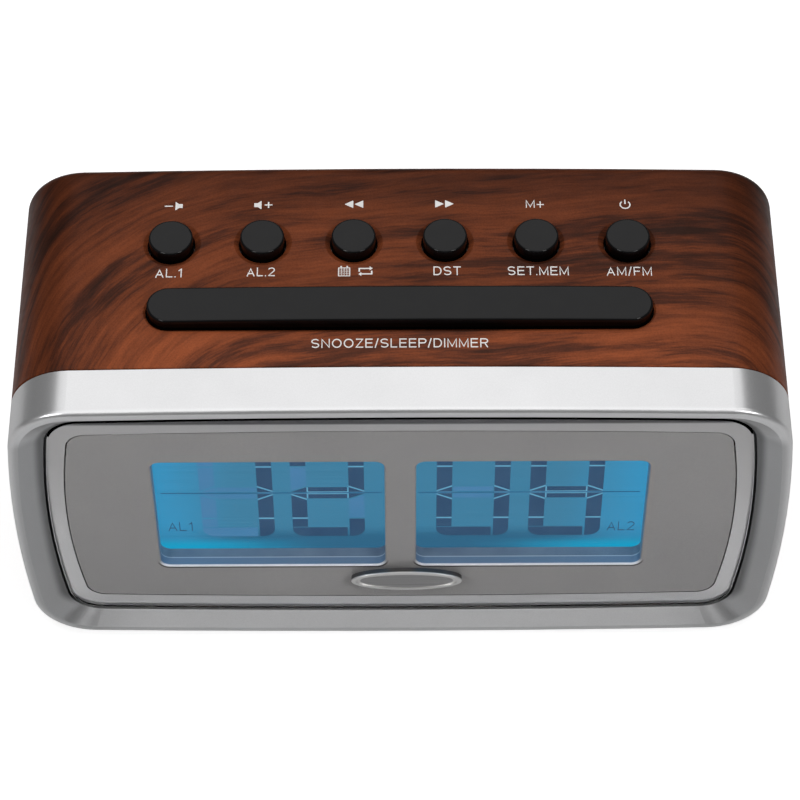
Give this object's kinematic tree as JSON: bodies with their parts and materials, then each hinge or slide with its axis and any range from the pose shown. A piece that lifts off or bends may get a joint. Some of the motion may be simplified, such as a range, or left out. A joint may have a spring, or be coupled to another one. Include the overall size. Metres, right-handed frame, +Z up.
{
  "type": "clock radio",
  "caption": "Tabletop clock radio: walnut-finish case, silver front frame, clear lens over a backlit split-panel display, round push buttons and a long snooze bar on top.",
  "frame": {"origin": "on the table under the middle of the radio, level with the bottoms of the feet", "axes": "+Z up, +X to the right seen from the front, the display faces -Y"},
  "size_m": [0.18, 0.073, 0.0947],
  "materials": {
    "walnut_film": "satin walnut-pattern film over moulded plastic",
    "silver_paint": "satin silver paint over moulded plastic",
    "clear_acrylic": "clear polished acrylic",
    "mask_grey": "metallic grey print",
    "frame_grey": "satin grey moulding",
    "white_plastic": "matt white moulding",
    "badge_metal": "satin aluminium with a polished rim",
    "black_plastic": "fine spark-textured black",
    "zinc_screw": "zinc plated",
    "foot_rubber": "matt rubber",
    "board_green": "solder-masked glass-fibre board",
    "board_white": "white solder mask",
    "switch_black": "matt black moulding",
    "button_black": "satin black caps with soft highlights",
    "display_glass": "liquid-crystal glass, lit from behind",
    "white_film": "white optical film",
    "guide_acrylic": "clear acrylic with dot pattern",
    "lamp_blue": "blue light-emitting diode",
    "contact_rubber": "layered conductive rubber",
    "chip_black": "matt moulded package",
    "can_aluminium": "sleeved aluminium can",
    "speaker_steel": "plated pressed steel",
    "speaker_ferrite": "sintered ferrite",
    "speaker_paper": "pressed paper pulp",
    "gasket_foam": "adhesive foam",
    "jack_black": "matt black moulding",
    "contact_brass": "plated brass",
    "contact_steel": "nickel-plated spring steel",
    "grommet_rubber": "matt rubber",
    "coil_copper": "enamelled copper wire",
    "cell_jacket": "plain cell jacket",
    "lead_grey": "grey ribbon insulation",
    "lead_red": "insulated lead",
    "lead_black": "insulated lead"
  },
  "bodies": {
    "case": {"housing": "walnut_film", "front_bezel": "silver_paint", "front_lens": "clear_acrylic", "display_mask": "mask_grey", "window_frame": "frame_grey", "display_chassis": "white_plastic", "badge": "badge_metal", "rear_cover": "black_plastic", "case_screws": "zinc_screw", "small_screws": "zinc_screw", "rubber_feet": "foot_rubber", "main_board": "board_green", "key_board": "board_green", "power_board": "board_green", "switch_bodies": "switch_black", "lcd_front_glass": "display_glass", "lcd_rear_glass": "display_glass", "diffuser_film": "white_film", "light_guide": "guide_acrylic", "reflector_film": "white_film", "backlight_strip": "board_white", "backlight_leds": "lamp_blue", "contact_strip": "contact_rubber", "clock_chip": "chip_black", "tuner_chip": "chip_black", "amplifier_chip": "chip_black", "capacitors": "can_aluminium", "speaker_frame": "speaker_steel", "speaker_magnet": "speaker_ferrite", "speaker_cone": "speaker_paper", "speaker_dust_cap": "speaker_paper", "speaker_gasket": "gasket_foam", "dc_jack": "jack_black", "dc_jack_pin": "contact_brass", "aerial_grommet": "grommet_rubber", "ferrite_rod": "speaker_ferrite", "aerial_coil": "coil_copper", "ferrite_clips": "white_plastic", "battery_box": "black_plastic", "backup_cells": "cell_jacket", "battery_contacts": "contact_steel", "ribbon_cable": "lead_grey", "speaker_leads": "lead_red", "battery_leads": "lead_red", "power_leads": "lead_black"},
    "volume_down": {"button_volume_down": "button_black", "plunger_volume_down": "switch_black"},
    "volume_up": {"button_volume_up": "button_black", "plunger_volume_up": "switch_black"},
    "tune_down": {"button_tune_down": "button_black", "plunger_tune_down": "switch_black"},
    "tune_up": {"button_tune_up": "button_black", "plunger_tune_up": "switch_black"},
    "memory": {"button_memory": "button_black", "plunger_memory": "switch_black"},
    "power": {"button_power": "button_black", "plunger_power": "switch_black"},
    "snooze": {"snooze_bar": "button_black", "plunger_snooze": "switch_black"},
    "door": {"battery_door": "black_plastic"}
  },
  "joints": [
    {"name": "volume_down_press", "type": "slide", "parent": "case", "child": "volume_down", "axis": [0, 0, -1], "range_m": [0, 0.0008], "stiffness_N_per_m": 500},
    {"name": "volume_up_press", "type": "slide", "parent": "case", "child": "volume_up", "axis": [0, 0, -1], "range_m": [0, 0.0008], "stiffness_N_per_m": 500},
    {"name": "tune_down_press", "type": "slide", "parent": "case", "child": "tune_down", "axis": [0, 0, -1], "range_m": [0, 0.0008], "stiffness_N_per_m": 500},
    {"name": "tune_up_press", "type": "slide", "parent": "case", "child": "tune_up", "axis": [0, 0, -1], "range_m": [0, 0.0008], "stiffness_N_per_m": 500},
    {"name": "memory_press", "type": "slide", "parent": "case", "child": "memory", "axis": [0, 0, -1], "range_m": [0, 0.0008], "stiffness_N_per_m": 500},
    {"name": "power_press", "type": "slide", "parent": "case", "child": "power", "axis": [0, 0, -1], "range_m": [0, 0.0008], "stiffness_N_per_m": 500},
    {"name": "snooze_press", "type": "slide", "parent": "case", "child": "snooze", "axis": [0, 0, -1], "range_m": [0, 0.0008], "stiffness_N_per_m": 1200},
    {"name": "battery_door_slide", "type": "slide", "parent": "case", "child": "door", "axis": [0, 1, 0], "range_m": [0, 0.028]}
  ]
}
